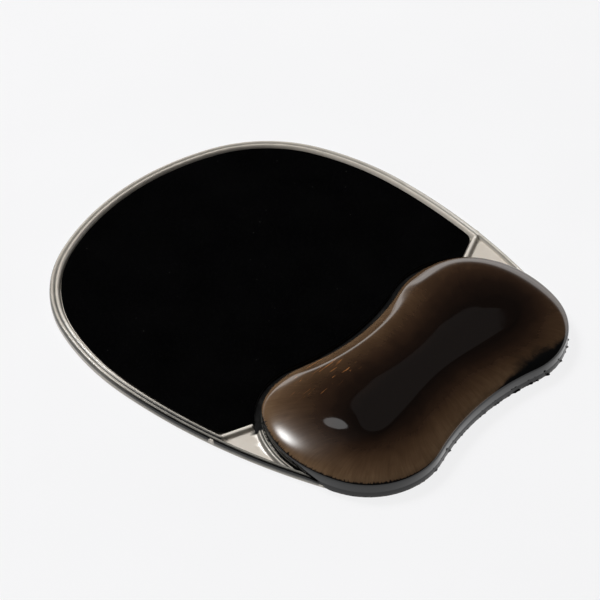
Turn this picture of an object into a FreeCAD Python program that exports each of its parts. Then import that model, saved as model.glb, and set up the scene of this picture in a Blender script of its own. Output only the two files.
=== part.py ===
"""Mouse pad with a built-in gel wrist rest.

The rest lies at the front (-Y), the mouse surface behind it (+Y), and the desk is z = 0.
The origin is the middle of the footprint on the desk. All sizes are in millimetres.
"""
import FreeCAD, Part
import math
import os

# Outline of the base tray
pad_width = 197.0             # at the widest point
pad_depth = 235.0             # front lobes to the rounded rear end
widest_from_rear = 99.0       # where the sides turn back inwards
rear_radius = 131.0
rear_corner_radius = 70.0
side_radius = 140.0
front_lobe_radius = 35.8
front_lobe_setback = 18.9     # how much further in a front lobe ends than the widest point
front_waist_depth = 6.2       # how far the front edge curves in between its lobes

# Layers of the base
sheet_thickness = 0.6
sheet_inset = 0.6             # the non-slip sheet stops this far inside the tray
floor_thickness = 1.3
rim_height = 4.3              # top of the rim bead above the desk
rim_width = 5.3
rim_round = 1.2               # width and height of the slope on both edges of the rim
film_thickness = 0.15         # each adhesive film
film_inset = 1.0              # an adhesive film stops this far inside what it holds
mat_core_thickness = 1.0
fabric_thickness = 0.35
mat_gap = 0.3                 # around the mat in its recess
mat_corner_radius = 6.0
mat_inner_corner_radius = 2.0

# Gel rest
rest_depth = 84.3             # front to back at the foot of its wall
rest_height = 15.2            # top of the gel above the desk
rest_lip = 0.7                # tray edge that shows in front of the rest
rest_bulge = 1.0              # how far the wall swells out over its own foot
rest_rear_lobe_radius = 30.8
rest_rear_end_turn = 42.0     # degrees that an end of the rest turns before its rear lobe
rest_front_end_turn = 20.5    # and before its front lobe
rest_rear_waist_depth = 7.4
widest_height = 6.8           # height at which the wall is widest
dome_reach = 33.0             # how far inwards the dome goes on rising
plateau_inset = 27.0          # the flat top starts this far in from the wall
backing_thickness = 0.4
skin_thickness = 0.6

# Collar, ribs and corner pockets
collar_gap = 0.2              # clearance between the swollen wall and the collar
collar_width = 2.6
collar_height = 3.7
collar_slope = 0.8
rib_width = 3.0
rib_height = 3.7
rib_from_side = 16.5          # middle of a rib, in from the widest point
rib_behind_rest_rear = -6.4   # middle of a rib, behind the rearmost point of the rest's foot
rib_angle = 22.0              # a rib falls towards the rest at this angle
rim_end_from_front = 29.0     # the rim and the collar run out against the rest here

# Worked out from the sizes above
overhang = rest_bulge - rest_lip
rear_y = (pad_depth + overhang) / 2
front_y = rear_y - pad_depth
half_width = pad_width / 2
widest_y = rear_y - widest_from_rear
front_lobe_x = half_width - front_lobe_setback - front_lobe_radius
front_lobe_y = front_y + front_lobe_radius
rest_front_y = front_y + rest_lip
rest_rear_y = rest_front_y + rest_depth
rest_front_lobe_radius = front_lobe_radius - rest_lip
rest_rear_lobe_y = rest_rear_y - rest_rear_lobe_radius
rest_end_y = (rest_rear_lobe_y + front_lobe_y) / 2
rim_end_y = front_y + rim_end_from_front
floor_top = sheet_thickness + floor_thickness
mat_core_bottom = floor_top + film_thickness
fabric_bottom = mat_core_bottom + mat_core_thickness
backing_bottom = floor_top + film_thickness
gel_bottom = backing_bottom + backing_thickness
dome_rise = rest_height - widest_height
wall_section_count = 3        # loft sections below the widest height
dome_section_count = 9        # loft sections above it
sharp_corner = 15.0           # side faces that meet at more than this angle get a fillet
same_place = 0.01             # points closer than this are one point


class ArcPiece:
    """One arc of an outline: convex arcs bulge outwards, concave ones curve in."""

    def __init__(self, centre, radius, start, end, convex=True):
        self.centre = centre
        self.radius = radius
        self.start = start
        self.end = end
        self.convex = convex

    def point(self, angle, offset, z, side):
        radius = self.radius + offset if self.convex else self.radius - offset
        x = self.centre[0] + radius * math.cos(angle)
        y = self.centre[1] + radius * math.sin(angle)
        return FreeCAD.Vector(side * x, y, z)

    def edge(self, offset, z, side):
        angles = [self.start, (self.start + self.end) / 2, self.end]
        if side < 0:
            angles.reverse()
        first, middle, last = [self.point(angle, offset, z, side) for angle in angles]
        return Part.Arc(first, middle, last).toShape()


def direction(start, end):
    """Angle of the line from one point to another."""
    return math.atan2(end[1] - start[1], end[0] - start[0])


def circle_through(across, along, radius):
    """Radius of the arc that leaves the widest point square on and meets a smaller arc.

    The smaller arc's centre lies so far in from the widest point, across and along.
    """
    return (across ** 2 + along ** 2 - radius ** 2) / (2 * (across - radius))


def waist_radius(lobe_x, lobe_radius, depth):
    """Radius of the concave arc between two lobes that is so deep in the middle."""
    return (lobe_x ** 2 + (lobe_radius - depth) ** 2 - lobe_radius ** 2) / (2 * depth)


def inner_circle(first, first_radius, second, second_radius, radius):
    """Centre, on the +X side, of an arc that lies inside two larger arcs and touches both."""
    gap = math.dist(first, second)
    to_first = first_radius - radius
    to_second = second_radius - radius
    along = (gap ** 2 + to_first ** 2 - to_second ** 2) / (2 * gap)
    across = math.sqrt(to_first ** 2 - along ** 2)
    line = direction(first, second)
    middle_x = first[0] + along * math.cos(line)
    middle_y = first[1] + along * math.sin(line)
    aside_x = across * math.sin(line)
    aside_y = across * math.cos(line)
    return max((middle_x + aside_x, middle_y - aside_y), (middle_x - aside_x, middle_y + aside_y))


def front_edge(lobe, lobe_radius, flank):
    """The front lobe and the shallow waist beside it, shared by the tray and the rest."""
    radius = waist_radius(front_lobe_x, front_lobe_radius, front_waist_depth)
    waist = (0.0, front_y + front_waist_depth - radius)
    radius += front_lobe_radius - lobe_radius
    meet = direction(waist, lobe)
    return [
        ArcPiece(lobe, lobe_radius, direction(flank, lobe), meet - math.pi),
        ArcPiece(waist, radius, meet, math.pi / 2, convex=False),
    ]


def tray_outline():
    """Right half of the tray's edge, from the middle of the rear to the middle of the front."""
    rear = (0.0, rear_y - rear_radius)
    side = (half_width - side_radius, widest_y)
    corner = inner_circle(rear, rear_radius, side, side_radius, rear_corner_radius)
    lobe = (front_lobe_x, front_lobe_y)
    flank_radius = circle_through(half_width - lobe[0], widest_y - lobe[1], front_lobe_radius)
    flank = (half_width - flank_radius, widest_y)
    into_corner = direction(rear, corner)
    out_of_corner = direction(side, corner)
    return [
        ArcPiece(rear, rear_radius, math.pi / 2, into_corner),
        ArcPiece(corner, rear_corner_radius, into_corner, out_of_corner),
        ArcPiece(side, side_radius, out_of_corner, 0.0),
        ArcPiece(flank, flank_radius, 0.0, direction(flank, lobe)),
    ] + front_edge(lobe, front_lobe_radius, flank)


def end_arc(turn):
    """Size of the arc between the end of the rest and a lobe, given how far it turns.

    Returns how far it bulges beyond the lobe's circle, and how much larger its radius is.
    """
    rise = rest_rear_lobe_y - rest_end_y
    angle = math.radians(turn)
    return rise * math.tan(angle / 2), rise / math.sin(angle)


def rest_end_x():
    bulge, _ = end_arc(rest_front_end_turn)
    return front_lobe_x + rest_front_lobe_radius + bulge


def rest_outline():
    """Right half of the foot of the rest's wall, from the middle of its rear to its front."""
    rear_bulge, rear_extra = end_arc(rest_rear_end_turn)
    _, front_extra = end_arc(rest_front_end_turn)
    rear_lobe = (rest_end_x() - rear_bulge - rest_rear_lobe_radius, rest_rear_lobe_y)
    front_lobe = (front_lobe_x, front_lobe_y)
    rear_end_radius = rest_rear_lobe_radius + rear_extra
    front_end_radius = rest_front_lobe_radius + front_extra
    rear_end = (rest_end_x() - rear_end_radius, rest_end_y)
    front_end = (rest_end_x() - front_end_radius, rest_end_y)
    concave = waist_radius(rear_lobe[0], rest_rear_lobe_radius, rest_rear_waist_depth)
    waist = (0.0, rest_rear_y - rest_rear_waist_depth + concave)
    meet = direction(waist, rear_lobe)
    end_angle = direction(rear_end, rear_lobe)
    return [
        ArcPiece(waist, concave, -math.pi / 2, meet, convex=False),
        ArcPiece(rear_lobe, rest_rear_lobe_radius, meet + math.pi, end_angle),
        ArcPiece(rear_end, rear_end_radius, end_angle, 0.0),
        ArcPiece(front_end, front_end_radius, 0.0, direction(front_end, front_lobe)),
    ] + front_edge(front_lobe, rest_front_lobe_radius, front_end)


def closed_wire(outline, offset, z):
    """The whole outline at a height, moved outwards by an offset."""
    right = [piece.edge(offset, z, 1) for piece in outline]
    left = [piece.edge(offset, z, -1) for piece in reversed(outline)]
    return Part.Wire(right + left)


def slab(outline, offset, bottom, top):
    face = Part.Face(closed_wire(outline, offset, bottom))
    return face.extrude(FreeCAD.Vector(0, 0, top - bottom))


def stack(outline, sections, ruled):
    """A solid through the outline at a list of (offset, height) sections."""
    wires = [closed_wire(outline, offset, z) for offset, z in sections]
    return Part.makeLoft(wires, True, ruled)


def polygon_prism(points, bottom, top):
    corners = [FreeCAD.Vector(x, y, bottom) for x, y in points]
    face = Part.Face(Part.makePolygon(corners + corners[:1]))
    return face.extrude(FreeCAD.Vector(0, 0, top - bottom))


def front_zone(shift, bottom, top):
    """Everything in front of the two slanting ribs, whose line is moved back by shift."""
    angle = math.radians(rib_angle)
    rib_x = half_width - rib_from_side
    rib_y = rest_rear_y + rib_behind_rest_rear + shift / math.cos(angle)
    apex_y = rib_y - rib_x * math.tan(angle)
    side_y = rib_y + (pad_width - rib_x) * math.tan(angle)
    points = [
        (0, apex_y),
        (pad_width, side_y),
        (pad_width, front_y - pad_depth),
        (-pad_width, front_y - pad_depth),
        (-pad_width, side_y),
    ]
    return polygon_prism(points, bottom, top)


def behind_rim_end(bottom, top):
    points = [
        (-pad_width, rim_end_y),
        (pad_width, rim_end_y),
        (pad_width, rear_y + pad_depth),
        (-pad_width, rear_y + pad_depth),
    ]
    return polygon_prism(points, bottom, top)


def non_slip_sheet():
    return slab(tray_outline(), -sheet_inset, 0.0, sheet_thickness)


def rim_bead():
    """The raised edge around the mouse surface, sloped on both sides."""
    outline = tray_outline()
    shoulder = rim_height - rim_round
    outer = stack(outline, [
        (0.0, floor_top),
        (0.0, shoulder),
        (-rim_round, rim_height),
    ], True)
    inner = stack(outline, [
        (-rim_width, floor_top),
        (-rim_width, shoulder),
        (-rim_width + rim_round, rim_height),
    ], True)
    return outer.cut(inner)


def collar():
    """The low wall that frames the rest behind and at both ends."""
    outline = rest_outline()
    inside = rest_bulge + collar_gap
    outside = inside + collar_width
    outer = stack(outline, [
        (outside, floor_top),
        (outside, collar_height - collar_slope),
        (outside - collar_slope, collar_height),
    ], True)
    return outer.cut(slab(outline, inside, floor_top, collar_height))


def ribs():
    """The two slanting ribs between the mouse surface and the corner pockets."""
    band = front_zone(rib_width / 2, floor_top, rib_height)
    band = band.cut(front_zone(-rib_width / 2, floor_top, rib_height))
    inside_rim = slab(tray_outline(), -rim_width / 2, floor_top, rib_height)
    behind_collar = slab(rest_outline(), rest_bulge + collar_gap + collar_width / 2,
                         floor_top, rib_height)
    return band.common(inside_rim).cut(behind_collar)


def base_tray():
    floor = slab(tray_outline(), 0.0, sheet_thickness, floor_top)
    top = max(rim_height, collar_height)
    room_for_rest = slab(rest_outline(), rest_bulge + collar_gap, floor_top, top)
    within_tray = slab(tray_outline(), 0.0, floor_top, top)
    walls = rim_bead().fuse(collar().common(within_tray))
    walls = walls.common(behind_rim_end(floor_top, top)).cut(room_for_rest)
    return floor.fuse([walls, ribs()]).removeSplitter()


def mat_layer(bottom, thickness, inset):
    """One layer of the mouse surface, cut to the recess behind the ribs and the collar."""
    top = bottom + thickness
    layer = slab(tray_outline(), -(rim_width + mat_gap + inset), bottom, top)
    around_rest = rest_bulge + collar_gap + collar_width + mat_gap + inset
    layer = layer.cut(slab(rest_outline(), around_rest, bottom, top))
    layer = layer.cut(front_zone(rib_width / 2 + mat_gap + inset, bottom, top))
    return round_corners(layer)


def round_corners(layer):
    """Rounds the corners at the rim, and then the smaller ones beside the collar."""
    at_rim = [edge for edge in sharp_uprights(layer) if abs(edge.CenterOfMass.x) > rest_end_x()]
    layer = layer.makeFillet(mat_corner_radius, at_rim)
    return layer.makeFillet(mat_inner_corner_radius, sharp_uprights(layer))


def sharp_uprights(layer):
    """Upright edges where two side faces meet at an angle."""
    found = []
    for edge in layer.Edges:
        box = edge.BoundBox
        if box.XLength + box.YLength < same_place and meets_at_angle(layer, edge):
            found.append(edge)
    return found


def meets_at_angle(layer, edge):
    normals = []
    for face in layer.ancestorsOfType(edge, Part.Face):
        u, v = face.Surface.parameter(edge.CenterOfMass)
        normals.append(face.normalAt(u, v))
    return normals[0].getAngle(normals[1]) > math.radians(sharp_corner)


def mat_adhesive():
    return mat_layer(floor_top, film_thickness, film_inset)


def mat_core():
    return mat_layer(mat_core_bottom, mat_core_thickness, 0.0)


def mat_fabric():
    return mat_layer(fabric_bottom, fabric_thickness, 0.0)


def rest_sections(shrink):
    """(offset, height) sections of the rest, all moved inwards by shrink."""
    sections = []
    for step in range(wall_section_count):
        part = step / wall_section_count
        z = gel_bottom + (widest_height - gel_bottom) * part
        swell = rest_bulge * math.sin(part * math.pi / 2)
        sections.append((swell - shrink, z))
    last = math.acos(1 - plateau_inset / dome_reach)
    for step in range(dome_section_count + 1):
        angle = last * step / dome_section_count
        inset = dome_reach * (1 - math.cos(angle))
        z = widest_height + (dome_rise - shrink) * math.sin(angle) / math.sin(last)
        sections.append((rest_bulge - inset - shrink, z))
    return sections


def gel_core():
    return stack(rest_outline(), rest_sections(skin_thickness), False)


def gel_skin():
    return stack(rest_outline(), rest_sections(0.0), False).cut(gel_core())


def gel_backing():
    return slab(rest_outline(), 0.0, backing_bottom, gel_bottom)


def rest_adhesive():
    return slab(rest_outline(), -film_inset, floor_top, backing_bottom)


os.makedirs("parts", exist_ok=True)
nodes = {
    "non_slip_sheet": non_slip_sheet,
    "base_tray": base_tray,
    "mat_adhesive_film": mat_adhesive,
    "mat_rubber_core": mat_core,
    "mat_fabric_top": mat_fabric,
    "rest_adhesive_film": rest_adhesive,
    "gel_backing_sheet": gel_backing,
    "gel_core": gel_core,
    "gel_skin": gel_skin,
}
for name, make in nodes.items():
    shape = make()
    shape.exportStep("parts/" + name + ".step")
    print(name, round(shape.Volume), "mm3, solids", len(shape.Solids), "valid", shape.isValid())
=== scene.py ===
import math

import bpy
import numpy as np
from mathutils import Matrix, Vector, geometry, kdtree, noise


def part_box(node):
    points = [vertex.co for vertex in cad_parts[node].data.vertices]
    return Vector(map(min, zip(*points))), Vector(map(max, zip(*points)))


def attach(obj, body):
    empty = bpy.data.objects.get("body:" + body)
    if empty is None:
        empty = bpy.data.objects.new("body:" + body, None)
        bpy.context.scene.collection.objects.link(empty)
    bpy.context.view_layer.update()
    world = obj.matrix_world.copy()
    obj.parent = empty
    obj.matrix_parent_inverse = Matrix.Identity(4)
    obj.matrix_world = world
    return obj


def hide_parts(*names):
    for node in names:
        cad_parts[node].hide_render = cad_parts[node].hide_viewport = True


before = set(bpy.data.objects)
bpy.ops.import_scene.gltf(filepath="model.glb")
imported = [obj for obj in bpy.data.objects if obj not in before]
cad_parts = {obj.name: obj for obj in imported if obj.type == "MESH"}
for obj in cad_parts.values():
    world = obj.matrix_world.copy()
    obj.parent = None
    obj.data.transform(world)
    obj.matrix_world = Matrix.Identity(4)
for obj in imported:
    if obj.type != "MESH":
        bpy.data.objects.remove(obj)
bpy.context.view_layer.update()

MM = 0.001

# Heights, in metres, from the CAD nodes
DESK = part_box("non_slip_sheet")[0].z
SHEET_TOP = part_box("non_slip_sheet")[1].z
FLOOR_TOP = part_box("mat_adhesive_film")[0].z
FABRIC_BOTTOM, FABRIC_TOP = [corner.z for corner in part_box("mat_fabric_top")]
BACKING_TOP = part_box("gel_backing_sheet")[1].z
REST_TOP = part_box("gel_skin")[1].z
CONTACT = 0.02 * MM           # how far the new pieces reach into what they are bonded to

# Places in plan, from the CAD nodes
HALF_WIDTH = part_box("base_tray")[1].x
FRONT_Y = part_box("base_tray")[0].y
REST_FRONT_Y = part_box("gel_backing_sheet")[0].y
REST_REAR_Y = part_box("gel_backing_sheet")[1].y

# Sizes that the boxes don't give, as in the CAD
RIB_X = HALF_WIDTH - 16.5 * MM
RIB_Y = REST_REAR_Y - 6.4 * MM
RIB_ANGLE = math.radians(22)
RIM_NONE = FRONT_Y + 25 * MM   # the rim rises out of the tray beside the rest,
RIM_FULL = FRONT_Y + 38 * MM   # between these places
COLLAR_START = FRONT_Y + 23 * MM


# ---------------------------------------------------------------- outlines

NEAR_STEPS = 40                # within this many steps of a curve, distance is taken square to it


def plane_loop(node, z):
    """The closed loop of points round the flat faces that a CAD node has at one height."""
    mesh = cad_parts[node].data
    sides = {}
    for face in mesh.polygons:
        if all(abs(mesh.vertices[i].co.z - z) < 1e-6 for i in face.vertices):
            for side in face.edge_keys:
                sides[side] = sides.get(side, 0) + 1
    joined = {}
    for side, times in sides.items():
        if times == 1:
            ends = [tuple(round(c, 7) for c in mesh.vertices[i].co[:2]) for i in side]
            joined.setdefault(ends[0], []).append(ends[1])
            joined.setdefault(ends[1], []).append(ends[0])
    first = min(joined)
    loop = [first]
    before, here = first, joined[first][0]
    while here != first:
        loop.append(here)
        before, here = here, [point for point in joined[here] if point != before][0]
    return from_rear_middle(clockwise(np.array(loop)))


def enclosed(loop):
    """The area inside a loop, less than zero if it runs clockwise."""
    ahead = np.roll(loop, -1, axis=0)
    return np.sum(loop[:, 0] * ahead[:, 1] - ahead[:, 0] * loop[:, 1]) / 2


def clockwise(loop):
    return loop[::-1].copy() if enclosed(loop) > 0 else loop


def from_rear_middle(loop):
    """The same loop, started at its point nearest to the middle of the rear edge."""
    rear = loop[:, 1] > loop[:, 1].mean()
    score = np.where(rear, abs(loop[:, 0]), 1.0)
    return np.roll(loop, -int(score.argmin()), axis=0)


def lengths_along(closed):
    return np.concatenate([[0], np.cumsum(np.hypot(*np.diff(closed, axis=0).T))])


def curve_slopes(closed, length):
    """Direction of a smooth closed curve at each of its points."""
    steps = np.diff(length)
    chords = np.diff(closed, axis=0) / steps[:, None]
    before = np.roll(chords, 1, axis=0)
    back = np.roll(steps, 1)
    slopes = (chords * back[:, None] + before * steps[:, None]) / (steps + back)[:, None]
    return np.vstack([slopes, slopes[:1]])


def hermite(t, start, leave, end, arrive):
    """A point on the curve between two points, given its directions at both."""
    return ((2 * t**3 - 3 * t**2 + 1) * start + (t**3 - 2 * t**2 + t) * leave
            + (3 * t**2 - 2 * t**3) * end + (t**3 - t**2) * arrive)


def curve_points(loop, at):
    """Points at given lengths along the smooth closed curve through the loop's points."""
    closed = np.vstack([loop, loop[:1]])
    length = lengths_along(closed)
    slopes = curve_slopes(closed, length)
    at = at % length[-1]
    k = np.clip(np.searchsorted(length, at, side="right") - 1, 0, len(loop) - 1)
    h = (length[k + 1] - length[k])[:, None]
    t = (at[:, None] - length[k][:, None]) / h
    return hermite(t, closed[k], h * slopes[k], closed[k + 1], h * slopes[k + 1])


def even_points(loop, spacing):
    """Points along the loop at an even spacing, in a number that four divides."""
    total = lengths_along(np.vstack([loop, loop[:1]]))[-1]
    count = 4 * int(round(total / spacing / 4))
    return curve_points(loop, np.arange(count) * total / count)


def softened(loop, reach, spacing):
    """The loop with its changes of curvature spread over a reach along it."""
    steps = int(reach / spacing)
    shifts = range(-steps, steps + 1)
    weights = [math.exp(-2 * (i / max(steps, 1)) ** 2) for i in shifts]
    return sum(w * np.roll(loop, i, axis=0) for w, i in zip(weights, shifts)) / sum(weights)


def outward(loop):
    """Unit normals that point out of a clockwise loop."""
    along = np.roll(loop, -1, axis=0) - np.roll(loop, 1, axis=0)
    along /= np.hypot(*along.T)[:, None]
    return np.stack([-along[:, 1], along[:, 0]], axis=1)


class Outline:
    """A closed curve in plan. It can be offset, and can tell how far outside it a point is."""

    def __init__(self, loop, spacing, softness=0.0):
        self.points = softened(even_points(loop, spacing), softness, spacing)
        self.normals = outward(self.points)
        self.spacing = spacing
        self.tree = kdtree.KDTree(len(self.points))
        for i, (x, y) in enumerate(self.points):
            self.tree.insert((x, y, 0), i)
        self.tree.balance()

    def offset(self, distance):
        return self.points + self.normals * distance

    def outside(self, x, y):
        """Distance outside the curve, and less than zero inside it."""
        _, i, near = self.tree.find((x, y, 0))
        across = (x - self.points[i][0]) * self.normals[i][0]
        across += (y - self.points[i][1]) * self.normals[i][1]
        return across if near < NEAR_STEPS * self.spacing else math.copysign(near, across)


tray_edge = Outline(plane_loop("base_tray", SHEET_TOP), 1.0 * MM, 4 * MM)
rest_foot = Outline(plane_loop("gel_backing_sheet", BACKING_TOP), 0.8 * MM, 4 * MM)
mat_edge = Outline(plane_loop("mat_fabric_top", FABRIC_TOP), 0.5 * MM)


# ---------------------------------------------------------------- mesh helpers

GRID_REACH = 130 * MM

def new_piece(name, verts, faces, replaced, smooth_angle=40):
    """A new smooth-shaded piece that rides with the pad and stands for its CAD nodes."""
    piece = new_object(name, verts, faces, smooth_angle)
    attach(piece, "root")
    if replaced:
        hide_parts(*replaced)
    return piece


def new_object(name, verts, faces, smooth_angle=40):
    mesh = bpy.data.meshes.new(name)
    mesh.from_pydata([tuple(v) for v in verts], [], [tuple(f) for f in faces])
    mesh.validate()
    mesh.polygons.foreach_set("use_smooth", [True] * len(mesh.polygons))
    mesh.set_sharp_from_angle(angle=math.radians(smooth_angle))
    piece = bpy.data.objects.new(name, mesh)
    bpy.context.collection.objects.link(piece)
    return piece


def paint(piece, name, values):
    """A number at each vertex, which a material can read by name."""
    layer = piece.data.attributes.new(name, "FLOAT", "POINT")
    layer.data.foreach_set("value", [float(v) for v in values])


DOME_REACH = 33 * MM           # from the rest's wall to its flat top, as in the CAD


def paint_flow(piece, count, depth):
    """A vector at each vertex of a ring mesh: its place round the ring, and across the rings."""
    layer = piece.data.attributes.new("flow", "FLOAT_VECTOR", "POINT")
    turn = 2 * np.pi * (np.arange(len(depth)) % count) / count
    radius = count * rest_foot.spacing / (2 * np.pi)
    across = np.array(depth) * DOME_REACH
    flow = np.stack([radius * np.cos(turn), radius * np.sin(turn), across], axis=1)
    layer.data.foreach_set("vector", flow.ravel())


def ring_faces(count, lower, upper):
    """Quads between two rings of one count, given where each starts."""
    return [(lower + i, upper + i, upper + (i + 1) % count, lower + (i + 1) % count)
            for i in range(count)]


def filling(outline, step, margin, stagger=0):
    """A grid of points inside an outline, all further in than a margin."""
    reach = range(-int(GRID_REACH / step), int(GRID_REACH / step) + 1)
    points = [((i + (j % 2) * stagger) * step, j * step) for i in reach for j in reach]
    return [(x, y) for x, y in points if outline.outside(x, y) < -margin]


def triangulate(loops, lines, extra, inside):
    """Triangles over the plan, with edges along loops and lines, kept where inside says."""
    points = []
    edges = []
    for path, closed in [(p, True) for p in loops] + [(p, False) for p in lines]:
        start = len(points)
        points += [Vector((float(x), float(y))) for x, y in path]
        count = len(path)
        edges += [(start + i, start + (i + 1) % count) for i in range(count - (not closed))]
    points += [Vector((float(x), float(y))) for x, y in extra]
    flat, _, faces, _, _, _ = geometry.delaunay_2d_cdt(points, edges, [], 0, 1e-7)
    kept = []
    for face in faces:
        x = sum(flat[i].x for i in face) / len(face)
        y = sum(flat[i].y for i in face) / len(face)
        if inside(x, y):
            kept.append(tuple(face))
    return [tuple(p) for p in flat], kept


def upward(flat, faces):
    """The faces, turned so that they all face up."""
    turned = []
    for a, b, c in faces:
        (ax, ay), (bx, by), (cx, cy) = flat[a], flat[b], flat[c]
        left = (bx - ax) * (cy - ay) - (by - ay) * (cx - ax) > 0
        turned.append((a, b, c) if left else (a, c, b))
    return turned


def compact(verts, faces):
    """Only the vertices that faces use."""
    used = sorted({i for face in faces for i in face})
    index = {old: new for new, old in enumerate(used)}
    return [verts[i] for i in used], [tuple(index[i] for i in face) for face in faces]


def closed_below(verts, faces, bottom):
    """Adds walls from the surface's open edge down to a flat bottom face."""
    directed = [(a, b) for face in faces for a, b in zip(face, face[1:] + face[:1])]
    known = set(directed)
    rim = {a: b for a, b in directed if (b, a) not in known}
    verts = list(verts)
    faces = list(faces)
    while rim:
        start = min(rim)
        loop = [start]
        here = rim.pop(start)
        while here != start:
            loop.append(here)
            here = rim.pop(here)
        base = len(verts)
        verts += [(verts[i][0], verts[i][1], bottom) for i in loop]
        count = len(loop)
        for i in range(count):
            j = (i + 1) % count
            faces.append((loop[j], loop[i], base + i, base + j))
        faces.append(tuple(base + i for i in reversed(range(count))))
    return verts, faces


def on_profile(points, at, column=1):
    """A value on a profile of points whose first value is a distance in millimetres."""
    return float(np.interp(at / MM, [p[0] for p in points], [p[column] for p in points]))


def smooth_step(low, high, x):
    t = min(max((x - low) / (high - low), 0.0), 1.0)
    return t * t * (3 - 2 * t)


# ---------------------------------------------------------------- gel rest

FLAT_REACH = 51 * MM           # half the length of the flat top
FLAT_LOBE_FROM_SIDE = 11 * MM
FLAT_SHIFT = -1.5 * MM
FLAT_HALF_WAIST = 6.1 * MM
FLAT_HALF_LOBE = 8.6 * MM
FLAT_FROM_FRONT = 34.2 * MM    # its middle line behind the front of the rest
FLAT_BOW = 3.0 * MM            # how far its ends come forward
FLAT_STEPS = 30                # points along a quarter of its outline
FLAT_SOFTNESS = 4 * MM
RING_SOFTNESS = 6 * MM
REAR_FOOT = 0.10
REAR_FOOT_REACH = 0.02
REAR_SLOPE = 1.7
REAR_RISE = 1.1
SHOULDER = 0.235               # place of the rear shoulder, as a share of the way in
SHOULDER_ROUND = 0.035
REAR_TURN = 66                 # the rear profile has faded out where the wall faces this far round
REAR_BLEND = 9 * MM
FLAT_BREAK = 0.12              # share of the dome that rises evenly, up to a soft edge
WALL_START = 0.7               # share of the bulge that the wall already has at its foot
REST_BULGE = 1.0 * MM
REAR_BULGE = 0.2 * MM
WIDEST_Z = 7.2 * MM
REAR_WIDEST_Z = 4.3 * MM       # the rest slopes down lower towards the mat
DARK_TOP = 8.4 * MM            # the wall looks dark up to this height
REAR_DARK_TOP = 1.0 * MM
LEAVE, ARRIVE = 1.0, 0.9       # how straight the dome's rings leave the wall and meet the flat
WALL_RINGS = 14
DOME_RINGS = 60
PLATEAU_RINGS = 8
PLATEAU_END = 0.92             # the rings of the flat top stop this far towards its middle line
PLATEAU_MIDDLE = 0.98          # length of that middle line, as a share of the flat top's


def plateau_loop():
    """The dog-bone outline of the flat top, clockwise from the rear middle."""
    lobe_x = FLAT_REACH - FLAT_LOBE_FROM_SIDE
    half = []
    for k in range(2 * FLAT_STEPS + 1):
        along = 1 - abs(1 - k / FLAT_STEPS)
        x = FLAT_REACH * math.sin(along * math.pi / 2)
        width = FLAT_HALF_WAIST + (FLAT_HALF_LOBE - FLAT_HALF_WAIST) * smooth_step(0, lobe_x, x)
        if x > lobe_x:
            width *= math.sqrt(max(0.0, 1 - ((x - lobe_x) / FLAT_LOBE_FROM_SIDE) ** 2))
        middle = REST_FRONT_Y + FLAT_FROM_FRONT - FLAT_BOW * (x / lobe_x) ** 2
        half.append((x, middle + (width if k < FLAT_STEPS else -width)))
    left = [(-x, y) for x, y in half[1:-1][::-1]]
    return np.array(half + left) + np.array([FLAT_SHIFT, 0])


def quarter_marks(points):
    """Lengths along a loop at which its four quarters start: rear, right end, front, left end."""
    closed = np.vstack([points, points[:1]])
    length = lengths_along(closed)
    right = int(points[:, 0].argmax())
    left = int(points[:, 0].argmin())
    low = points[:, 1] < points[:, 1].mean()
    front = int(np.where(low, abs(points[:, 0]), 1.0).argmin())
    return [0.0, length[right], length[front], length[left], length[-1]]


def matching_points(outer, inner):
    """For each point of the outer loop, the point of the inner one that it leads to."""
    outer_marks = quarter_marks(outer)
    inner_marks = quarter_marks(inner)
    length = lengths_along(np.vstack([outer, outer[:1]]))[:-1]
    return curve_points(inner, np.interp(length, outer_marks, inner_marks))


def dome_height(t, rear):
    """How far up the dome the surface is, from 0 at the wall to 1 at the flat top."""
    steep = max(0.0, 1 - (1 - t) ** 2) ** 0.5
    gentle = rear_rise(t) / rear_rise(1.0)
    return (1 - FLAT_BREAK) * (steep * (1 - rear) + gentle * rear) + FLAT_BREAK * t


def rear_rise(t):
    """A short steep foot, then a slope up to a rounded shoulder, then a slow rise."""
    foot = REAR_FOOT * (1 - math.exp(-t / REAR_FOOT_REACH))
    slope = math.log((1 + math.exp(SHOULDER / SHOULDER_ROUND))
                     / (1 + math.exp((SHOULDER - t) / SHOULDER_ROUND)))
    return foot + REAR_SLOPE * SHOULDER_ROUND * slope + REAR_RISE * (t - t * t / 2)


def rear_share(normals):
    """How far each point of the foot belongs to the rear edge, where the rest is low."""
    share = []
    for across, back in normals:
        turn = abs(math.degrees(math.atan2(across, back)))
        share.append(1 - smooth_step(0, REAR_TURN, turn))
    return softened(np.array(share)[:, None], REAR_BLEND, rest_foot.spacing)


def between(front, rear, share):
    return front + (rear - front) * share


def wall_rings(bulge, widest):
    """The rest's wall, from its foot up to its widest ring."""
    foot = BACKING_TOP - CONTACT
    verts = []
    for k in range(WALL_RINGS):
        t = k / WALL_RINGS
        share = WALL_START + (1 - WALL_START) * math.sin(t * math.pi / 2)
        ring = rest_foot.offset(bulge * share)
        verts += [(x, y, foot + (top - foot) * t) for (x, y), top in zip(ring, widest)]
    return verts


def flat_edge(outer):
    """The flat top's edge, with one point for each point of the wall."""
    even = even_points(plateau_loop(), 0.5 * MM)
    inner = softened(even, FLAT_SOFTNESS, 0.5 * MM)
    target = matching_points(outer, from_rear_middle(inner))
    return softened(target, RING_SOFTNESS, rest_foot.spacing)


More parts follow.
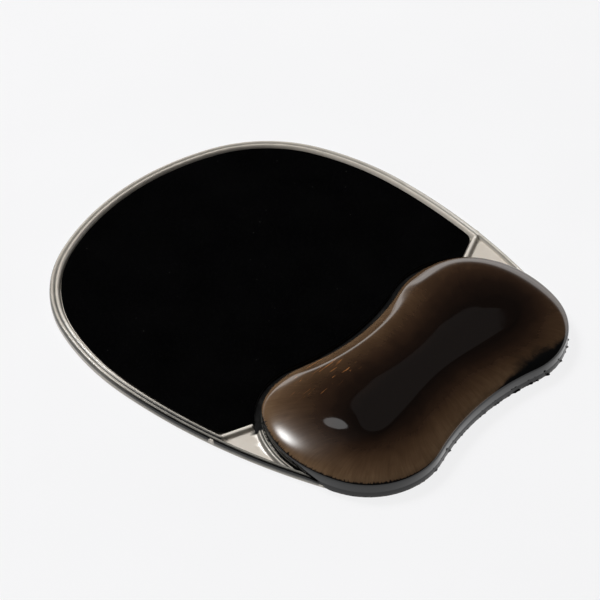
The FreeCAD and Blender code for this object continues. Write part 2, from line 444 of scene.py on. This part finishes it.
def dome_rings(outer, target, widest, rear):
    """The dome's points, and how far in each of them is."""
    span = np.hypot(*(target - outer).T)[:, None]
    leave = -rest_foot.normals * span * LEAVE
    arrive = (target - outer) * ARRIVE
    verts = []
    depth = []
    for k in range(DOME_RINGS + 1):
        t = 1 - math.cos(k / DOME_RINGS * math.pi / 2)
        ring = hermite(t, outer, leave, target, arrive)
        for (x, y), low, share in zip(ring, widest, rear):
            verts.append((x, y, low + (REST_TOP - low) * dome_height(t, share)))
        depth += [t] * len(outer)
    return verts, depth


def plateau_rings(target):
    """The flat top, in rings that close in on its middle line."""
    count = len(target)
    middle_y = np.full(count, target[:, 1].mean())
    middle = np.stack([target[:, 0] * PLATEAU_MIDDLE, middle_y], axis=1)
    verts = []
    depth = []
    for k in range(1, PLATEAU_RINGS + 1):
        t = PLATEAU_END * k / PLATEAU_RINGS
        verts += [(x, y, REST_TOP) for x, y in target * (1 - t) + middle * t]
        depth += [1.0 + t] * count
    return verts, depth


def closed_rings(count, rings):
    """The faces of a stack of rings, closed at both ends."""
    faces = []
    for k in range(rings - 1):
        faces += ring_faces(count, k * count, (k + 1) * count)
    faces.append(tuple(reversed(range(count))))
    faces.append(tuple(range((rings - 1) * count, rings * count)))
    return [tuple(reversed(face)) for face in faces]


def make_gel():
    count = len(rest_foot.points)
    rear = rear_share(rest_foot.normals)
    bulge = between(REST_BULGE, REAR_BULGE, rear)
    widest = between(WIDEST_Z, REAR_WIDEST_Z, rear)[:, 0]
    outer = rest_foot.offset(bulge)
    target = flat_edge(outer)
    wall = wall_rings(bulge, widest)
    dome, dome_depth = dome_rings(outer, target, widest, rear[:, 0])
    flat, flat_depth = plateau_rings(target)
    verts = wall + dome + flat
    depth = [0.0] * len(wall) + dome_depth + flat_depth
    faces = closed_rings(count, len(verts) // count)
    gel = new_piece("gel_rest", verts, faces, ["gel_core", "gel_skin"])
    paint(gel, "depth", depth)
    paint_flow(gel, count, depth)
    dark_top = np.resize(between(DARK_TOP, REAR_DARK_TOP, rear[:, 0]), len(verts))
    paint(gel, "lip", [v[2] - top for v, top in zip(verts, dark_top)])
    gel.data.materials.append(gel_material())


# ---------------------------------------------------------------- flash

# The trimmed skin's cross-section, in millimetres: distance outside the rest's foot, and height
FLASH_OUTER = [(0.44, 3.9), (0.68, 3.3), (0.90, 2.6), (1.00, 1.8), (1.06, 1.0), (1.10, 0.35)]
FLASH_INNER = [(0.80, 0.35), (0.76, 1.2), (0.74, 2.2), (0.40, 3.0)]
FLASH_END = 3.4                # its lower edge climbs to this height at both ends
FLASH_TAPER = 14               # in this many steps of the foot's outline
FLASH_INSET = 1.2 * MM         # it shows where the rest comes this near to the tray's edge
CUT_SIZE = 2.1 * MM            # spacing of the cut edge's larger and smaller bumps
CRUMB_SIZE = 0.8 * MM
CRUMB_SHARE = 0.6
CUT_OUT, CUT_UP = 1.5, 0.9     # reach of the bumps, in millimetres
CUT_EVEN = 0.12                # how rough the cleaner end is
CUT_LOWEST = 0.04


def shown_run():
    """The foot's points along the front, where the rest reaches the tray's edge."""
    edge = rest_foot.offset(1.0 * MM)
    free = [tray_edge.outside(x, y) > -FLASH_INSET for x, y in edge]
    count = len(free)
    start = next(i for i in range(count) if free[i] and not free[i - 1])
    run = []
    while free[(start + len(run)) % count] and len(run) < count:
        run.append((start + len(run)) % count)
    return run


def flash_section(i, taper):
    """One cross-section of the trimmed skin, at a point of the rest's foot."""
    x, y = rest_foot.points[i]
    across = rest_foot.normals[i]
    bumps = noise.noise(Vector((x, y, 0)) / CUT_SIZE)
    crumbs = noise.noise(Vector((x, y, 9)) / CRUMB_SIZE)
    cut = bumps + CRUMB_SHARE * crumbs
    ragged = smooth_step(-60 * MM, -25 * MM, x) * 0.9 + CUT_EVEN
    section = []
    for away, height in FLASH_OUTER + FLASH_INNER:
        low = 1 - smooth_step(0.3, 1.3, height)
        away += low * ragged * CUT_OUT * max(0.0, cut)
        height = FLASH_END + (height - FLASH_END) * taper if height < FLASH_END else height
        height = max(CUT_LOWEST, height + low * ragged * CUT_UP * cut)
        section.append((x + across[0] * away * MM, y + across[1] * away * MM, height * MM))
    return section


def make_flash():
    """A skirt of skin round the front of the rest, with a roughly cut lower edge."""
    run = shown_run()
    verts = []
    for k, i in enumerate(run):
        verts += flash_section(i, smooth_step(0, FLASH_TAPER, min(k, len(run) - 1 - k)))
    size = len(FLASH_OUTER + FLASH_INNER)
    faces = []
    for k in range(len(run) - 1):
        a, b = k * size, (k + 1) * size
        faces += [(a + j, a + (j + 1) % size, b + (j + 1) % size, b + j) for j in range(size)]
    faces += [tuple(reversed(range(size))), tuple(len(verts) - size + j for j in range(size))]
    flash = new_piece("gel_flash", verts, faces, [], 60)
    paint(flash, "height", [z / MM for _, _, z in verts])
    flash.data.materials.append(flash_material())


# ---------------------------------------------------------------- tray

# Across each feature, in millimetres: distance, height, and how milky or smoky the plastic is
RIM_PROFILE = [
    (0.0, 2.3, 0.50), (0.08, 2.8, 0.22), (0.25, 3.35, 0.17), (0.55, 3.85, 0.24),
    (0.95, 4.15, 0.50), (1.4, 4.28, 0.66), (1.8, 4.2, 0.58), (2.2, 3.92, 0.30),
    (2.6, 3.78, 0.17), (3.0, 3.92, 0.42), (3.4, 4.2, 0.72), (3.75, 4.24, 0.80),
    (4.1, 4.0, 0.80), (4.5, 3.5, 0.72), (4.85, 2.9, 0.60), (5.15, 2.3, 0.45),
    (5.35, 1.92, 0.36),
]
COLLAR_PROFILE = [
    (1.1, 1.92, 0.05), (1.22, 3.1, 0.10), (1.45, 3.6, 0.34), (1.8, 3.72, 0.60),
    (2.15, 3.5, 0.20), (2.45, 3.3, 0.08), (2.75, 3.5, 0.50), (3.1, 3.6, 0.62),
    (3.5, 3.35, 0.36), (3.9, 2.8, 0.28), (4.3, 2.2, 0.40), (4.6, 1.92, 0.70),
]
RIB_PROFILE = [
    (0.0, 3.62, 0.86), (0.45, 3.66, 0.80), (0.8, 3.5, 0.60), (1.15, 3.0, 0.46),
    (1.4, 2.4, 0.50), (1.6, 1.92, 0.72),
]
RIB_STEPS = range(-11, 13)     # millimetres along a rib's x from its middle
RIB_NEAREST = 0.6 * HALF_WIDTH
FLOOR_TONE = 0.76
SIDE_TONE = 0.62
UNDER_TONE = 0.10              # under the rest
RIM_MID_TONE = 0.60            # the rim's bands draw towards this at the rear and right
NEAR_LEFT_DARKER = 0.27
COLLAR_FROM_MAT = 6.0 * MM     # beside the mat there is no collar, only a dark channel
UNDER_REST = 1.1 * MM
CHANNEL = 5 * MM
RIM_INNER = 2.3 * MM           # the rim's inner ridge turns away with the ribs


def rib_distance(x, y):
    """Distance behind the slanting line along the middle of a rib."""
    line = RIB_Y + (abs(x) - RIB_X) * math.tan(RIB_ANGLE)
    return (y - line) * math.cos(RIB_ANGLE)


def rim_surface(x, y, inside, floor, fade):
    """Height and tone of the rim."""
    low = FLOOR_TOP - 0.3 * MM * smooth_step(0.6 * MM, 0, inside)
    rim = on_profile(RIM_PROFILE, inside) * MM
    if inside > RIM_INNER:
        rim = floor + (rim - floor) * smooth_step(-2.5 * MM, -0.5 * MM, rib_distance(x, y))
    even = 1 - 0.5 * smooth_step(-20 * MM, 70 * MM, x + y)
    tone = RIM_MID_TONE + (on_profile(RIM_PROFILE, inside, 2) - RIM_MID_TONE) * even
    near_left = smooth_step(-20 * MM, -70 * MM, x) * smooth_step(35 * MM, -15 * MM, y)
    return low + (rim - low) * fade, tone - NEAR_LEFT_DARKER * near_left


def tray_surface(x, y):
    """Height of the tray's top, and its tone, at a place in plan."""
    inside = -tray_edge.outside(x, y)
    from_rest = rest_foot.outside(x, y)
    from_mat = mat_edge.outside(x, y)
    floor = FLOOR_TOP + CONTACT
    fade = smooth_step(RIM_NONE, RIM_FULL, y)
    if from_rest < UNDER_REST:
        return floor, UNDER_TONE
    if inside > 6 * MM and from_mat < COLLAR_FROM_MAT and from_rest < CHANNEL:
        return floor, 0.0
    options = [(floor, FLOOR_TONE), rim_surface(x, y, inside, floor, fade)]
    if inside > 0.4 * MM and from_mat > COLLAR_FROM_MAT:
        collar = on_profile(COLLAR_PROFILE, from_rest) * MM
        options.append((floor + (collar - floor) * fade, on_profile(COLLAR_PROFILE, from_rest, 2)))
    if abs(x) > RIB_NEAREST and from_rest > 2 * MM:
        away = abs(rib_distance(x, y))
        options.append((on_profile(RIB_PROFILE, away) * MM, on_profile(RIB_PROFILE, away, 2)))
    height, tone = max(options)
    return height, tone if height > floor + 0.1 * MM or inside < 1 * MM else FLOOR_TONE


def rib_lines():
    """Lines along the ribs, one for each point of the rib's profile, on both sides."""
    lines = []
    for side in (-1, 1):
        for away, _, _ in RIB_PROFILE:
            for shift in {away, -away}:
                y = RIB_Y + shift * MM / math.cos(RIB_ANGLE)
                along = [RIB_X + k * MM for k in RIB_STEPS]
                lines.append([(side * x, y + (x - RIB_X) * math.tan(RIB_ANGLE)) for x in along])
    return lines


def make_tray():
    rings = [tray_edge.offset(-row[0] * MM) for row in RIM_PROFILE]
    lines = rib_lines()
    for row in COLLAR_PROFILE:
        lines += inside_only(rest_foot.offset(row[0] * MM))
    extra = filling(tray_edge, 4 * MM, 6 * MM)
    flat, faces = triangulate(rings, lines, extra, lambda x, y: tray_edge.outside(x, y) < 0)
    faces = upward(flat, faces)
    flat, faces = compact(flat, faces)
    surface = [tray_surface(x, y) for x, y in flat]
    verts = [(x, y, z) for (x, y), (z, _) in zip(flat, surface)]
    verts, faces = closed_below(verts, faces, SHEET_TOP - CONTACT)
    tray = new_piece("tray_moulding", verts, faces, ["base_tray"], 50)
    tones = [tone for _, tone in surface]
    paint(tray, "tone", tones + [SIDE_TONE] * (len(verts) - len(tones)))
    tray.data.materials.append(tray_material())


def inside_only(loop):
    """The runs of a loop that lie inside the tray and behind the start of the collar."""
    runs = []
    run = []
    for x, y in np.vstack([loop, loop[:1]]):
        if tray_edge.outside(x, y) < -0.3 * MM and y > COLLAR_START:
            run.append((x, y))
        elif len(run) > 1:
            runs.append(run)
            run = []
        else:
            run = []
    if len(run) > 1:
        runs.append(run)
    return runs


# ---------------------------------------------------------------- mat

# The fabric's rounded edge, in millimetres: distance in from its outline, and height
FABRIC_EDGE = [(0.0, 0.10), (0.12, 0.22), (0.3, 0.3), (0.6, 0.34), (1.2, 0.35)]

RIPPLE = 0.02 * MM
RIPPLE_SIZE = 14 * MM


def make_fabric():
    loops = [mat_edge.offset(-distance * MM) for distance, _ in FABRIC_EDGE]
    extra = filling(mat_edge, 3 * MM, 2.2 * MM, stagger=0.5)
    flat, faces = triangulate(loops, [], extra, lambda x, y: mat_edge.outside(x, y) < 0)
    faces = upward(flat, faces)
    flat, faces = compact(flat, faces)
    verts = []
    for x, y in flat:
        edge = on_profile(FABRIC_EDGE, -mat_edge.outside(x, y)) * MM
        ripple = RIPPLE * noise.noise(Vector((x, y, 0)) / RIPPLE_SIZE) - RIPPLE
        full = FABRIC_EDGE[-1][1] * MM
        verts.append((x, y, FABRIC_BOTTOM + edge + ripple * min(1.0, edge / full)))
    verts, faces = closed_below(verts, faces, FABRIC_BOTTOM)
    fabric = new_piece("mat_fabric", verts, faces, ["mat_fabric_top"])
    fabric.data.materials.append(fabric_material())


# ---------------------------------------------------------------- materials

class Graph:
    """A material's nodes, joined in short calls."""

    def __init__(self, name, **constants):
        self.material = bpy.data.materials.new(name)
        self.material.use_nodes = True
        self.nodes = self.material.node_tree.nodes
        self.links = self.material.node_tree.links
        self.shader = self.nodes["Principled BSDF"]
        for key, value in constants.items():
            self.feed(self.shader.inputs[key.replace("_", " ").replace("Ior", "IOR")], value)

    def feed(self, socket, value):
        if isinstance(value, bpy.types.NodeSocket):
            self.links.new(value, socket)
        elif isinstance(value, tuple) and len(value) == 3 and socket.type == "RGBA":
            socket.default_value = (*value, 1)
        else:
            socket.default_value = value

    def node(self, kind, inputs=(), **settings):
        node = self.nodes.new("ShaderNode" + kind)
        for key, value in settings.items():
            setattr(node, key, value)
        for key, value in dict(inputs).items():
            self.feed(node.inputs[key], value)
        return node

    def place(self):
        return self.node("TexCoord").outputs["Object"]

    def attribute(self, name, output):
        return self.node("Attribute", attribute_name=name).outputs[output]

    def math(self, operation, a, b=0.0, c=0.0, clamp=False):
        inputs = {0: a, 1: b, 2: c}
        return self.node("Math", inputs, operation=operation, use_clamp=clamp).outputs[0]

    def scaled(self, vector, x, y, z):
        """A vector divided by a length for each axis, in millimetres."""
        size = (1 / (x * MM), 1 / (y * MM), 1 / (z * MM))
        return self.node("Mapping", {"Vector": vector, "Scale": size}).outputs[0]

    def noise(self, vector, detail=3.0, distortion=0.0):
        inputs = {"Vector": vector, "Scale": 1.0, "Detail": detail, "Distortion": distortion}
        return self.node("TexNoise", inputs).outputs["Fac"]

    def cells(self, vector):
        return self.node("TexVoronoi", {"Vector": vector, "Scale": 1.0}, feature="F1").outputs[0]

    def span(self, value, low, high, out_low=0.0, out_high=1.0, smooth=False):
        inputs = {0: value, 1: low, 2: high, 3: out_low, 4: out_high}
        kind = "SMOOTHSTEP" if smooth else "LINEAR"
        return self.node("MapRange", inputs, interpolation_type=kind).outputs[0]

    def ramp(self, value, stops):
        node = self.node("ValToRGB", {"Fac": value})
        elements = node.color_ramp.elements
        while len(elements) < len(stops):
            elements.new(0.5)
        for element, (position, colour) in zip(elements, stops):
            element.position = position
            element.color = (*colour, 1)
        return node.outputs["Color"]

    def mix(self, fac, a, b):
        node = self.node("Mix", data_type="RGBA")
        for socket, value in zip((node.inputs[0], node.inputs[6], node.inputs[7]), (fac, a, b)):
            self.feed(socket, value)
        return node.outputs[2]

    def split(self, vector):
        return self.node("SeparateXYZ", {"Vector": vector}).outputs

    def colour(self, value):
        self.feed(self.shader.inputs["Base Color"], value)

    def rough(self, value):
        self.feed(self.shader.inputs["Roughness"], value)

    def bump(self, height, distance):
        """Surface detail: the height runs from 0 to 1 over a distance in millimetres."""
        inputs = {"Height": height, "Distance": distance * MM, "Strength": 1.0}
        self.feed(self.shader.inputs["Normal"], self.node("Bump", inputs).outputs[0])


def gel_brown(g, x, clouds):
    """Amber at the edge of the dome, where the gel is thin, and dark in the middle, with streaks."""
    flow = g.attribute("flow", "Vector")
    depth = g.attribute("depth", "Fac")
    fibres = g.noise(g.scaled(flow, 0.8, 0.8, 11), 4.0, 0.4)
    wisps = g.noise(g.scaled(flow, 2.6, 2.6, 16), 3.0, 1.2)
    streaks = g.math("ADD", g.math("MULTIPLY", fibres, 0.5), g.math("MULTIPLY", wisps, 0.5))
    shift = g.math("MULTIPLY", g.math("SUBTRACT", streaks, 0.5), g.span(depth, 0, 0.9, 0.36, 0.10))
    shift = g.math("MULTIPLY_ADD", g.math("SUBTRACT", clouds, 0.5), 0.22, shift)
    dense = g.span(x, 0.0, 90 * MM, 0.0, 0.26, smooth=True)
    tone = g.math("ADD", g.math("ADD", depth, shift), dense, clamp=True)
    return g.ramp(tone, [
        (0.00, (0.140, 0.086, 0.048)), (0.14, (0.092, 0.054, 0.029)),
        (0.32, (0.053, 0.029, 0.0150)), (0.52, (0.025, 0.0128, 0.0070)),
        (0.72, (0.0105, 0.0054, 0.0034)), (0.95, (0.0050, 0.0028, 0.0020)),
    ])


def gel_lit_part(g, x, y, clouds):
    """1 on the dome and 0 on its black wall, with a spiky edge and a black pool at the front."""
    spikes = g.noise(g.scaled(g.attribute("flow", "Vector"), 0.55, 0.55, 60), 2.0)
    left = g.span(x, -45 * MM, -70 * MM, 0.15, 1.1)
    spikes = g.math("MULTIPLY", g.span(spikes, 0.45, 0.75), left)
    pool = g.math("MULTIPLY", g.span(x, 6 * MM, 30 * MM, smooth=True),
                  g.span(x, 66 * MM, 40 * MM, smooth=True))
    pool = g.math("MULTIPLY", pool, g.span(y, -90 * MM, -100 * MM, smooth=True))
    pool = g.math("MULTIPLY", pool, g.span(clouds, 0.3, 0.7, 0.75, 1.25))
    edge = g.math("MULTIPLY", pool, 2.6 * MM)
    edge = g.math("MULTIPLY_ADD", spikes, 0.9 * MM, edge)
    above = g.math("SUBTRACT", g.attribute("lip", "Fac"), edge)
    blur = g.math("MULTIPLY_ADD", pool, 0.9 * MM, 0.25 * MM)
    return g.span(g.math("DIVIDE", above, blur), -0.8, 1.0, smooth=True)


def gel_hairs(g, place, x, y):
    """A few orange hairs in the gel near its rear left."""
    squeezed = {"Vector": g.scaled(place, 1, 1, 1), "Rotation": (0, 0, -0.35),
                "Scale": (0.10, 1.25, 0.3)}
    hairs = g.noise(g.node("Mapping", squeezed).outputs[0], 2.0, 0.5)
    near = g.math("MULTIPLY", g.span(x, -62 * MM, -40 * MM, smooth=True),
                  g.span(x, -16 * MM, -30 * MM, smooth=True))
    near = g.math("MULTIPLY", near, g.span(y, -62 * MM, -56 * MM, smooth=True))
    return g.math("MULTIPLY", g.math("MULTIPLY", g.span(hairs, 0.665, 0.69), near), 0.55)


def gel_material():
    g = Graph("smoky_gel", Ior=1.5)
    place = g.place()
    x, y, _ = g.split(place)
    clouds = g.noise(g.scaled(place, 9, 9, 9), 5.0, 0.6)
    brown = g.mix(gel_hairs(g, place, x, y), gel_brown(g, x, clouds), (0.50, 0.20, 0.06))
    g.colour(g.mix(gel_lit_part(g, x, y, clouds), (0.0035, 0.0035, 0.0037), brown))
    smears = g.noise(g.scaled(place, 14, 14, 14), 4.0)
    g.rough(g.span(smears, 0.35, 0.75, 0.03, 0.055))
    g.bump(g.noise(g.scaled(place, 10, 10, 10), 2.0), 0.012)
    return g.material


def tray_material():
    g = Graph("milky_clear_tray", Ior=1.5)
    g.shader.inputs["Transmission Weight"].default_value = 0.12
    place = g.place()
    clouds = g.noise(g.scaled(place, 6, 6, 6), 5.0, 0.3)
    tone = g.math("MULTIPLY_ADD", g.math("SUBTRACT", clouds, 0.5), 0.16, g.attribute("tone", "Fac"))
    specks = g.span(g.cells(g.scaled(place, 4.2, 4.2, 4.2)), 0.10, 0.06)
    specks = g.math("MULTIPLY", specks, g.span(g.noise(g.scaled(place, 9, 9, 9), 1.0), 0.54, 0.60))
    tone = g.math("MULTIPLY_ADD", specks, 0.22, tone, clamp=True)
    g.colour(g.ramp(tone, [
        (0.0, (0.004, 0.004, 0.004)), (0.15, (0.065, 0.062, 0.055)), (0.30, (0.20, 0.19, 0.17)),
        (0.50, (0.47, 0.435, 0.38)), (0.75, (0.80, 0.73, 0.64)), (1.0, (0.95, 0.92, 0.87)),
    ]))
    g.rough(g.span(g.noise(g.scaled(place, 3, 3, 3), 4.0), 0.3, 0.7, 0.10, 0.20))
    g.bump(g.noise(g.scaled(place, 2.2, 2.2, 2.2), 3.0), 0.03)
    return g.material


def flash_material():
    g = Graph("trimmed_skin", Ior=1.5)
    place = g.place()
    crumbs = g.noise(g.scaled(place, 0.9, 0.9, 0.9), 4.0, 0.4)
    low = g.math("MULTIPLY", g.span(g.attribute("height", "Fac"), 1.1, 0.3), g.span(crumbs, 0.45, 0.65))
    g.colour(g.mix(low, (0.006, 0.0058, 0.006), (0.36, 0.31, 0.28)))
    g.rough(g.span(crumbs, 0.3, 0.7, 0.06, 0.16))
    g.bump(crumbs, 0.04)
    return g.material


def film_material(name, dark, pale, size, roughness, grain=0.0):
    """A plain film or rubber with a clouded colour and a fine grain."""
    g = Graph(name, Ior=1.48)
    place = g.place()
    clouds = g.noise(g.scaled(place, size, size, size), 4.0, 0.4)
    g.colour(g.ramp(clouds, [(0.3, dark), (0.7, pale)]))
    fine = g.noise(g.scaled(place, size / 8, size / 8, size / 8), 3.0)
    g.rough(g.span(fine, 0.3, 0.7, roughness - 0.08, roughness + 0.08))
    g.bump(g.cells(g.scaled(place, 1.6, 1.6, 1.6)) if grain else fine, grain or 0.02)
    return g.material


def fabric_material():
    g = Graph("black_fabric")
    g.shader.inputs["Specular IOR Level"].default_value = 0.01
    place = g.place()
    knit = g.noise(g.scaled(place, 0.45, 0.45, 0.45), 3.0)
    clouds = g.noise(g.scaled(place, 25, 25, 25), 3.0)
    base = g.ramp(clouds, [(0.3, (0.0006, 0.0006, 0.0007)), (0.7, (0.0014, 0.0014, 0.0015))])
    lint = g.cells(g.scaled(place, 5.5, 5.5, 5.5))
    lint = g.span(lint, 0.055, 0.030)
    lint = g.math("MULTIPLY", lint, g.span(g.noise(g.scaled(place, 7, 7, 7), 1.0), 0.5, 0.62))
    pile = g.span(g.noise(g.scaled(place, 0.8, 0.8, 0.8), 2.0), 0.55, 0.75)
    base = g.mix(pile, base, (0.0034, 0.0034, 0.0035))
    g.colour(g.mix(g.math("MULTIPLY", lint, 0.7), base, (0.06, 0.06, 0.057)))
    g.rough(g.span(knit, 0.3, 0.7, 0.82, 0.98))
    g.bump(knit, 0.06)
    return g.material


def floor_material():
    """A plain white floor that glows, so that shadows on it stay faint. It can't be seen from below."""
    g = Graph("white_sweep", Roughness=0.9)
    g.shader.inputs["Specular IOR Level"].default_value = 0.0
    clouds = g.noise(g.scaled(g.place(), 90, 90, 90), 2.0)
    g.colour(g.ramp(clouds, [(0.3, (0.082, 0.082, 0.084)), (0.7, (0.094, 0.094, 0.096))]))
    g.shader.inputs["Emission Color"].default_value = (0.84, 0.84, 0.846, 1)
    g.shader.inputs["Emission Strength"].default_value = 1.0
    below = g.node("NewGeometry").outputs["Backfacing"]
    g.feed(g.shader.inputs["Alpha"], g.math("SUBTRACT", 1.0, below))
    return g.material


# ---------------------------------------------------------------- floor, camera and lights

FLOOR_REACH = 2
FLOOR_BELOW = 0.05 * MM


def make_floor():
    z = DESK - FLOOR_BELOW
    turns = [(-1, -1), (1, -1), (1, 1), (-1, 1)]
    corners = [(x * FLOOR_REACH, y * FLOOR_REACH, z) for x, y in turns]
    floor = new_object("floor", corners, [(0, 1, 2, 3)])
    floor.data.materials.append(floor_material())


CAMERA_LENS = 128.7
CAMERA_DISTANCE = 1017 * MM
CAMERA_BACK = Vector((-0.5396, -0.4886, 0.6855)).normalized()
CAMERA_TARGET = Vector((1.9, -0.1, 0)) * MM


def add_camera():
    data = bpy.data.cameras.new("camera")
    data.lens = CAMERA_LENS
    camera = bpy.data.objects.new("camera", data)
    bpy.context.collection.objects.link(camera)
    camera.location = CAMERA_TARGET + CAMERA_BACK * CAMERA_DISTANCE
    camera.rotation_mode = "QUATERNION"
    camera.rotation_quaternion = (-CAMERA_BACK).to_track_quat("-Z", "Y")
    bpy.context.scene.camera = camera


def direction(azimuth, elevation):
    """Unit vector towards an azimuth, counted from +Y towards +X, and an elevation."""
    a, e = math.radians(azimuth), math.radians(elevation)
    return Vector((math.sin(a) * math.cos(e), math.cos(a) * math.cos(e), math.sin(e)))


def area_light(name, azimuth, elevation, distance, size, radiance, mirrored=True):
    """A round soft light, given how bright its face is; one not mirrored leaves no highlight."""
    data = bpy.data.lights.new(name, "AREA")
    data.shape = "DISK"
    data.size = size
    data.energy = radiance * math.pi * math.pi * (size / 2) ** 2
    lamp = bpy.data.objects.new(name, data)
    lamp.location = direction(azimuth, elevation) * distance
    lamp.rotation_mode = "QUATERNION"
    lamp.rotation_quaternion = (-lamp.location).to_track_quat("-Z", "Y")
    lamp.visible_glossy = mirrored
    bpy.context.collection.objects.link(lamp)


ROOM = 0.02
SWEEP = 1.5                    # a white sweep low round the horizon, tallest at its azimuth
SWEEP_AZIMUTH = 88
SWEEP_TOP = 0.30
SWEEP_NARROW = 2.8
SWEEP_FADE = 0.03
KEY_AZIMUTH = -3               # the key light behind: a bright core in a wider glow
KEY_ELEVATION = 49
KEY_CORE = 24.0
KEY_CORE_POWER = 150
KEY_GLOW = 2.4
KEY_GLOW_POWER = 36


def add_world():
    """A dark room with a white sweep low at the right, and one soft light behind."""
    world = bpy.data.worlds.new("studio")
    bpy.context.scene.world = world
    world.use_nodes = True
    nodes, links = world.node_tree.nodes, world.node_tree.links

    def math_node(operation, a, b, c=0.0):
        node = nodes.new("ShaderNodeMath")
        node.operation = operation
        for socket, value in zip(node.inputs, (a, b, c)):
            if isinstance(value, bpy.types.NodeSocket):
                links.new(value, socket)
            else:
                socket.default_value = value
        return node.outputs[0]

    def towards(azimuth, elevation):
        node = nodes.new("ShaderNodeVectorMath")
        node.operation = "DOT_PRODUCT"
        links.new(look, node.inputs[0])
        node.inputs[1].default_value = direction(azimuth, elevation)
        return math_node("MAXIMUM", node.outputs["Value"], 0.0)

    look = nodes.new("ShaderNodeTexCoord").outputs["Generated"]
    height = towards(0, 90)
    sweep = math_node("MULTIPLY", math_node("POWER", towards(SWEEP_AZIMUTH, 0), SWEEP_NARROW), SWEEP_TOP)
    above = math_node("SUBTRACT", height, sweep)
    white = math_node("POWER", 2.718, math_node("MULTIPLY", above, -1 / SWEEP_FADE))
    white = math_node("MINIMUM", white, 1.0)
    key = towards(KEY_AZIMUTH, KEY_ELEVATION)
    core = math_node("MULTIPLY", math_node("POWER", key, KEY_CORE_POWER), KEY_CORE)
    glow = math_node("MULTIPLY", math_node("POWER", key, KEY_GLOW_POWER), KEY_GLOW)
    total = math_node("MULTIPLY_ADD", white, SWEEP, ROOM)
    total = math_node("ADD", total, math_node("ADD", core, glow))
    links.new(total, nodes["Background"].inputs["Strength"])
    nodes["Background"].inputs["Color"].default_value = (1, 1, 1, 1)


# ---------------------------------------------------------------- build

make_gel()
make_flash()
make_tray()
make_fabric()

# Each CAD node that is shown as packed: its two colours, grain size, roughness and relief in mm
FILMS = {
    "non_slip_sheet": ((0.60, 0.55, 0.48), (0.74, 0.69, 0.61), 8, 0.55, 0.12),
    "mat_adhesive_film": ((0.03, 0.03, 0.03), (0.06, 0.058, 0.055), 5, 0.40),
    "mat_rubber_core": ((0.006, 0.006, 0.006), (0.014, 0.014, 0.013), 1.2, 0.80, 0.08),
    "rest_adhesive_film": ((0.06, 0.05, 0.04), (0.13, 0.10, 0.08), 6, 0.35),
    "gel_backing_sheet": ((0.05, 0.036, 0.026), (0.11, 0.075, 0.05), 4, 0.35),
}
for node, look in FILMS.items():
    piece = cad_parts[node]
    piece.data.materials.clear()
    piece.data.materials.append(film_material(node + "_film", *look))

make_floor()
add_camera()
add_world()
# name, azimuth, elevation, distance, size and brightness
area_light("dim_panel", 53, 45, 1.5, 0.28, 0.085)
area_light("pane", 39, 52, 1.4, 0.12, 1.7)
area_light("key_spread", KEY_AZIMUTH, KEY_ELEVATION, 1.6, 0.6, 17.0, mirrored=False)
area_light("fill", -130, 65, 1.6, 1.4, 0.5, mirrored=False)
bpy.context.scene.view_settings.view_transform = "Standard"
